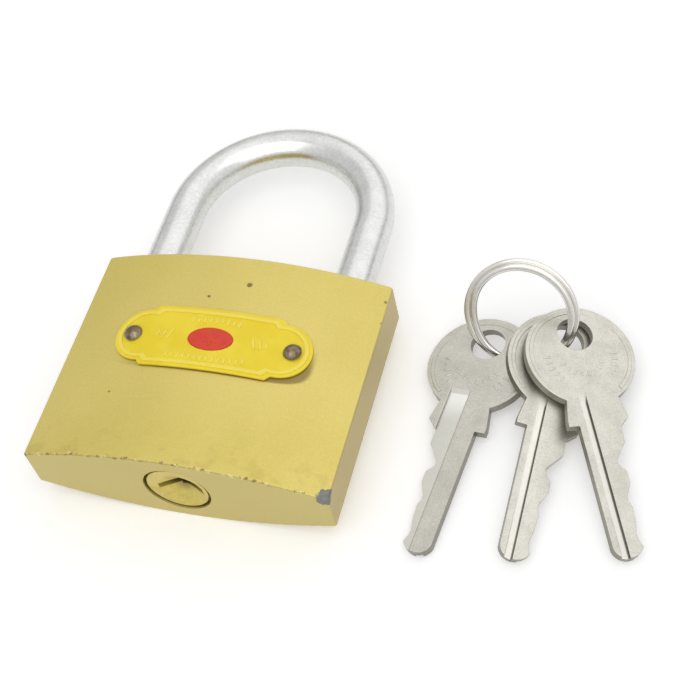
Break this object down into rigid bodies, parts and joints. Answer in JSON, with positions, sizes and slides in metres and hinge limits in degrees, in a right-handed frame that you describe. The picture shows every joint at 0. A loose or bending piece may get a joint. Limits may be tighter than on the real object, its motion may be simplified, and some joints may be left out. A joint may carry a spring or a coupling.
{
  "type": "padlock",
  "caption": "Painted cast-iron padlock with a bowed case, a long chromed U shackle, a riveted name plate and a set of flat keys on a split ring beside it.",
  "frame": {"origin": "centre of the keyway end's face, on the plug's axis", "axes": "+X across the lock's width to the long leg, +Y from the keyway end towards the shackle's crown, +Z towards the front face with the name plate; the lock lies on its back"},
  "size_m": [0.1195, 0.096, 0.0209],
  "materials": {
    "case_paint": "satin",
    "plug_paint": "satin",
    "plate_paint": "gloss",
    "inlay_enamel": "gloss",
    "shackle_chrome": "polished",
    "key_nickel": "satin",
    "ring_steel": "polished",
    "rivet_steel": "satin",
    "plain_steel": "machined",
    "spring_steel": "drawn",
    "brass": "machined"
  },
  "bodies": {
    "case": {"case_body": "case_paint", "shackle_spring": "spring_steel", "shackle_retaining_pin": "plain_steel", "cross_bore_plug": "plain_steel", "plug_retaining_pin": "plain_steel", "chamber_plugs": "brass", "name_plate": "plate_paint", "oval_inlay": "inlay_enamel", "rivet_left": "rivet_steel", "rivet_right": "rivet_steel", "pin_spring_1": "spring_steel", "pin_spring_2": "spring_steel", "pin_spring_3": "spring_steel", "pin_spring_4": "spring_steel", "pin_spring_5": "spring_steel"},
    "shackle_bar": {"shackle": "shackle_chrome"},
    "plug_and_cam": {"plug": "plug_paint", "cam": "plain_steel"},
    "left_bolt": {"bolt_left": "plain_steel"},
    "right_bolt": {"bolt_right": "plain_steel"},
    "ring": {"split_ring": "ring_steel"},
    "left_key": {"key_left": "key_nickel"},
    "middle_key": {"key_middle": "key_nickel"},
    "right_key": {"key_right": "key_nickel"},
    "key_pin_body_1": {"key_pin_1": "brass"},
    "driver_pin_body_1": {"driver_pin_1": "brass"},
    "key_pin_body_2": {"key_pin_2": "brass"},
    "driver_pin_body_2": {"driver_pin_2": "brass"},
    "key_pin_body_3": {"key_pin_3": "brass"},
    "driver_pin_body_3": {"driver_pin_3": "brass"},
    "key_pin_body_4": {"key_pin_4": "brass"},
    "driver_pin_body_4": {"driver_pin_4": "brass"},
    "key_pin_body_5": {"key_pin_5": "brass"},
    "driver_pin_body_5": {"driver_pin_5": "brass"}
  },
  "joints": [
    {"name": "shackle_lift", "type": "slide", "parent": "case", "child": "shackle_bar", "axis": [0, 1, 0], "range_m": [0, 0.0125], "deforming": ["shackle_spring"]},
    {"name": "plug_turn", "type": "hinge", "parent": "case", "child": "plug_and_cam", "pos_m": [0, 0, 0], "axis": [0, -1, 0], "range_deg": [0, 60]},
    {"name": "bolt_left_slide", "type": "slide", "parent": "case", "child": "left_bolt", "axis": [-1, 0, 0], "range_m": [0, 0.0021]},
    {"name": "bolt_right_slide", "type": "slide", "parent": "case", "child": "right_bolt", "axis": [1, 0, 0], "range_m": [0, 0.0021]},
    {"name": "key_set_lift", "type": "slide", "parent": "case", "child": "ring", "axis": [0, 0, 1], "range_m": [0, 0.05]},
    {"name": "left_key_swing", "type": "hinge", "parent": "ring", "child": "left_key", "pos_m": [0.0513, 0.04605, -0.00689], "axis": [-0.1331, -0.0338, 0.9905], "range_deg": [0, 8]},
    {"name": "middle_key_swing", "type": "hinge", "parent": "ring", "child": "middle_key", "pos_m": [0.0663, 0.0475, -0.00485], "axis": [0.355, -0.0749, 0.9319], "range_deg": [-12, 3]},
    {"name": "right_key_swing", "type": "hinge", "parent": "ring", "child": "right_key", "pos_m": [0.068, 0.0479, -0.00266], "axis": [0.3067, 0.0003, 0.9518], "range_deg": [-20, 3]},
    {"name": "key_pin_1_slide", "type": "slide", "parent": "plug_and_cam", "child": "key_pin_body_1", "axis": [1, 0, 0], "range_m": [-0.0016, 0]},
    {"name": "driver_pin_1_slide", "type": "slide", "parent": "case", "child": "driver_pin_body_1", "axis": [1, 0, 0], "range_m": [-0.0016, 0], "deforming": ["pin_spring_1"]},
    {"name": "key_pin_2_slide", "type": "slide", "parent": "plug_and_cam", "child": "key_pin_body_2", "axis": [1, 0, 0], "range_m": [-0.0016, 0]},
    {"name": "driver_pin_2_slide", "type": "slide", "parent": "case", "child": "driver_pin_body_2", "axis": [1, 0, 0], "range_m": [-0.0016, 0], "deforming": ["pin_spring_2"]},
    {"name": "key_pin_3_slide", "type": "slide", "parent": "plug_and_cam", "child": "key_pin_body_3", "axis": [1, 0, 0], "range_m": [-0.0016, 0]},
    {"name": "driver_pin_3_slide", "type": "slide", "parent": "case", "child": "driver_pin_body_3", "axis": [1, 0, 0], "range_m": [-0.0016, 0], "deforming": ["pin_spring_3"]},
    {"name": "key_pin_4_slide", "type": "slide", "parent": "plug_and_cam", "child": "key_pin_body_4", "axis": [1, 0, 0], "range_m": [-0.0016, 0]},
    {"name": "driver_pin_4_slide", "type": "slide", "parent": "case", "child": "driver_pin_body_4", "axis": [1, 0, 0], "range_m": [-0.0016, 0], "deforming": ["pin_spring_4"]},
    {"name": "key_pin_5_slide", "type": "slide", "parent": "plug_and_cam", "child": "key_pin_body_5", "axis": [1, 0, 0], "range_m": [-0.0016, 0]},
    {"name": "driver_pin_5_slide", "type": "slide", "parent": "case", "child": "driver_pin_body_5", "axis": [1, 0, 0], "range_m": [-0.0016, 0], "deforming": ["pin_spring_5"]}
  ],
  "couplings": [
    {"joint": "bolt_left_slide", "follows": "plug_turn", "m_per_rad": 0.0020053},
    {"joint": "bolt_right_slide", "follows": "plug_turn", "m_per_rad": 0.0020053},
    {"joint": "driver_pin_1_slide", "follows": "key_pin_1_slide", "ratio": 1},
    {"joint": "driver_pin_2_slide", "follows": "key_pin_2_slide", "ratio": 1},
    {"joint": "driver_pin_3_slide", "follows": "key_pin_3_slide", "ratio": 1},
    {"joint": "driver_pin_4_slide", "follows": "key_pin_4_slide", "ratio": 1},
    {"joint": "driver_pin_5_slide", "follows": "key_pin_5_slide", "ratio": 1}
  ]
}
